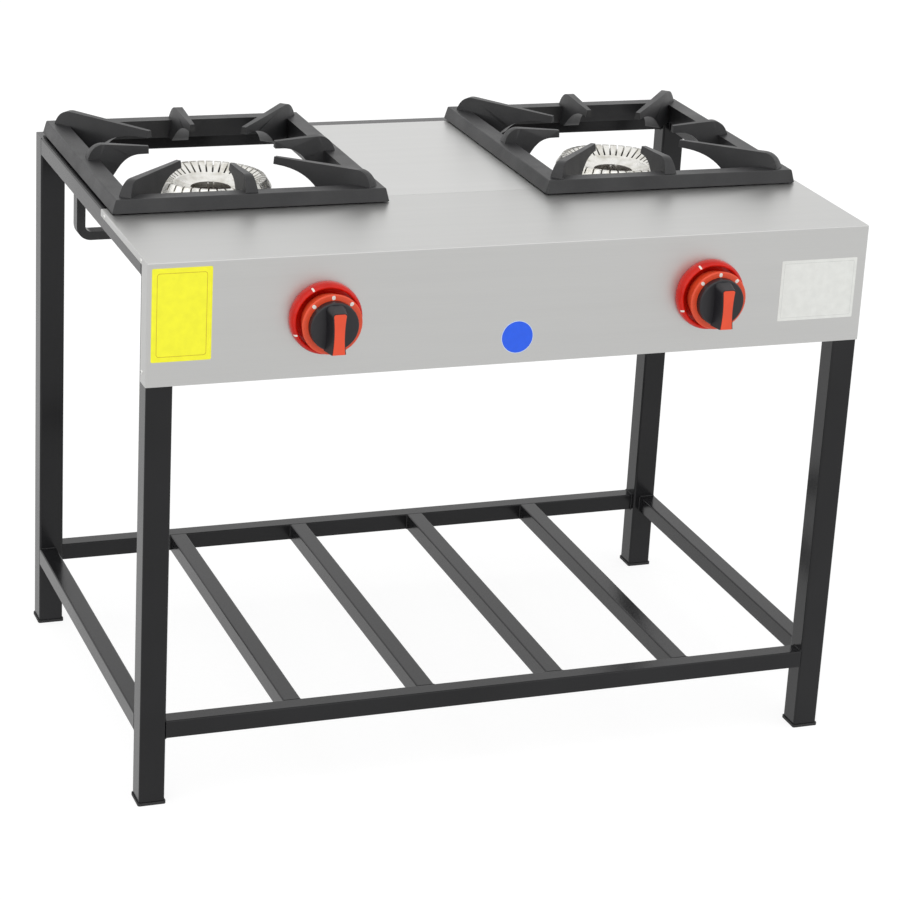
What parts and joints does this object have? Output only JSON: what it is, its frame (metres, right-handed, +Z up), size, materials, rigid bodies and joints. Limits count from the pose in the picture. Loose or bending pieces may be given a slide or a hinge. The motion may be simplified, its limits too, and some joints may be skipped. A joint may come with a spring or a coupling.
{
  "type": "stock pot range",
  "caption": "Low two-burner gas range on an open square-tube stand with a slatted shelf, lift-off cast grates, slotted burner heads and push-and-turn knobs.",
  "frame": {"origin": "on the floor, at the middle of the whole outline, knobs included", "axes": "+X to the right of a person facing the panel, +Y to the rear, +Z up; the width along X is the longest extent"},
  "size_m": [1.0054, 0.7052, 0.79],
  "materials": {
    "frame_paint": "gloss black stove enamel on square tube",
    "foot_rubber": "moulded black caps, matt",
    "sheet_steel": "brushed stainless sheet",
    "screw_steel": "plain steel screws",
    "bolt_steel": "dull zinc plated bolts",
    "stud_steel": "bright turned studs",
    "grate_iron": "black enamelled casting, satin",
    "burner_iron": "dark casting, slightly brown from heat",
    "head_metal": "bright casting with machined slots",
    "cradle_steel": "black painted flat bar",
    "pipe_steel": "grey painted gas pipe",
    "clamp_steel": "zinc plated straps and screws",
    "brass": "machined brass",
    "tube_metal": "drawn aluminium tube with steel nuts",
    "bezel_plastic": "gloss dark red moulding",
    "skirt_plastic": "satin orange red moulding",
    "grip_plastic": "satin black moulding"
  },
  "bodies": {
    "stand": {"bezel_left": "bezel_plastic", "bezel_right": "bezel_plastic", "burner_body_left": "burner_iron", "burner_body_right": "burner_iron", "burner_bolts": "bolt_steel", "burner_cradle_left": "cradle_steel", "burner_cradle_right": "cradle_steel", "burner_studs": "stud_steel", "cover_screws": "screw_steel", "cross_rail": "frame_paint", "foot_front_left": "foot_rubber", "foot_front_right": "foot_rubber", "foot_rear_left": "foot_rubber", "foot_rear_right": "foot_rubber", "front_cover": "sheet_steel", "front_rail": "frame_paint", "injector_left": "brass", "injector_right": "brass", "inlet_nipple": "brass", "leg_front_left": "frame_paint", "leg_front_right": "frame_paint", "leg_rear_left": "frame_paint", "leg_rear_right": "frame_paint", "manifold": "pipe_steel", "manifold_brackets": "pipe_steel", "manifold_cap": "pipe_steel", "manifold_straps": "clamp_steel", "middle_plate": "sheet_steel", "middle_rail_left": "frame_paint", "middle_rail_right": "frame_paint", "rear_rail": "frame_paint", "shelf_rail_front": "frame_paint", "shelf_rail_left": "frame_paint", "shelf_rail_rear": "frame_paint", "shelf_rail_right": "frame_paint", "shelf_slat_1": "frame_paint", "shelf_slat_2": "frame_paint", "shelf_slat_3": "frame_paint", "shelf_slat_4": "frame_paint", "side_rail_left": "frame_paint", "side_rail_right": "frame_paint", "strap_screws": "clamp_steel", "supply_tube_left": "tube_metal", "supply_tube_right": "tube_metal", "tap_body_left": "brass", "tap_body_right": "brass"},
    "left_grate": {"grate_left": "grate_iron"},
    "left_burner_head": {"burner_head_left": "head_metal"},
    "left_tap_push": {"spindle_collar_left": "brass"},
    "left_knob": {"spindle_left": "brass", "knob_skirt_left": "skirt_plastic", "knob_grip_left": "grip_plastic", "knob_pointer_left": "skirt_plastic"},
    "right_grate": {"grate_right": "grate_iron"},
    "right_burner_head": {"burner_head_right": "head_metal"},
    "right_tap_push": {"spindle_collar_right": "brass"},
    "right_knob": {"spindle_right": "brass", "knob_skirt_right": "skirt_plastic", "knob_grip_right": "grip_plastic", "knob_pointer_right": "skirt_plastic"}
  },
  "joints": [
    {"name": "left_grate_lift", "type": "slide", "parent": "stand", "child": "left_grate", "axis": [0, 0, 1], "range_m": [0, 0.06]},
    {"name": "left_burner_head_lift", "type": "slide", "parent": "stand", "child": "left_burner_head", "axis": [0, 0, 1], "range_m": [0, 0.05]},
    {"name": "left_knob_push", "type": "slide", "parent": "stand", "child": "left_tap_push", "axis": [0, 1, 0], "range_m": [0, 0.003], "stiffness_N_per_m": 3000},
    {"name": "left_knob_turn", "type": "hinge", "parent": "left_tap_push", "child": "left_knob", "pos_m": [-0.2685, -0.29005, 0.668], "axis": [0, 1, 0], "range_deg": [0, 180]},
    {"name": "right_grate_lift", "type": "slide", "parent": "stand", "child": "right_grate", "axis": [0, 0, 1], "range_m": [0, 0.06]},
    {"name": "right_burner_head_lift", "type": "slide", "parent": "stand", "child": "right_burner_head", "axis": [0, 0, 1], "range_m": [0, 0.05]},
    {"name": "right_knob_push", "type": "slide", "parent": "stand", "child": "right_tap_push", "axis": [0, 1, 0], "range_m": [0, 0.003], "stiffness_N_per_m": 3000},
    {"name": "right_knob_turn", "type": "hinge", "parent": "right_tap_push", "child": "right_knob", "pos_m": [0.2685, -0.29005, 0.668], "axis": [0, 1, 0], "range_deg": [0, 180]}
  ]
}
